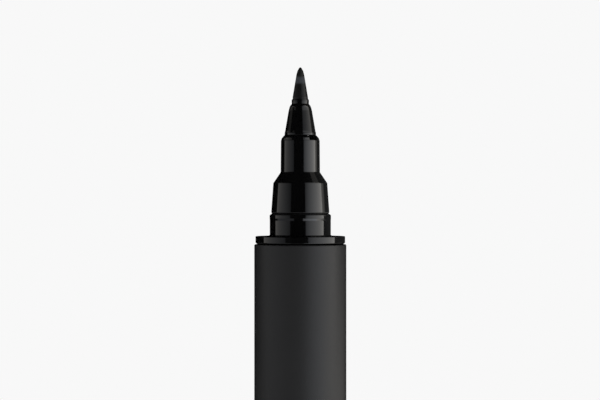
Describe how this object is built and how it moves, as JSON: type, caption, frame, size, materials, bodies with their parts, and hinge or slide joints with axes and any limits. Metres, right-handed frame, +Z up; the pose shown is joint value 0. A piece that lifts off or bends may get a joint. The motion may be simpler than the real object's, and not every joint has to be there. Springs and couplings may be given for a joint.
{
  "type": "brush pen",
  "caption": "Capped felt brush pen, matte black tubes with a gloss black stepped nose and a conical nib, standing nib up on its posted cap with a sprung pocket clip.",
  "frame": {"origin": "centre of the flat end of the cap, which the pen stands on", "axes": "+Z up the pen towards the nib, -Y towards the pocket clip, +X to the right when the clip faces the viewer"},
  "size_m": [0.012, 0.0138, 0.1532],
  "materials": {
    "matte_coat": "satin matte black soft-touch coat on drawn aluminium tube",
    "gloss_black": "polished injection-moulded black",
    "inked_felt": "ground felt, soaked with black ink",
    "ink_fibre": "bundled fibre soaked with black ink",
    "clear_film": "thin clear polypropylene film",
    "natural_plastic": "natural milky polypropylene",
    "black_spring": "gloss black coat on spring steel strip"
  },
  "bodies": {
    "cap": {"cap_crown": "gloss_black", "cap_tube": "matte_coat", "cap_liner": "natural_plastic"},
    "clip": {"pocket_clip": "black_spring"},
    "pen": {"tail_plug": "gloss_black", "barrel_tube": "matte_coat", "ink_chamber": "natural_plastic", "reservoir_core": "ink_fibre", "reservoir_film": "clear_film", "breather_tube": "clear_film", "front_section": "gloss_black", "nozzle": "gloss_black", "brush_nib": "inked_felt"}
  },
  "joints": [
    {"name": "cap_pull", "type": "slide", "parent": "cap", "child": "pen", "axis": [0, 0, 1], "range_m": [0, 0.03]},
    {"name": "clip_flex", "type": "hinge", "parent": "cap", "child": "clip", "pos_m": [0, -0.0055, 0.00375], "axis": [1, 0, 0], "range_deg": [0, 6], "stiffness_Nm_per_rad": 0.4}
  ]
}
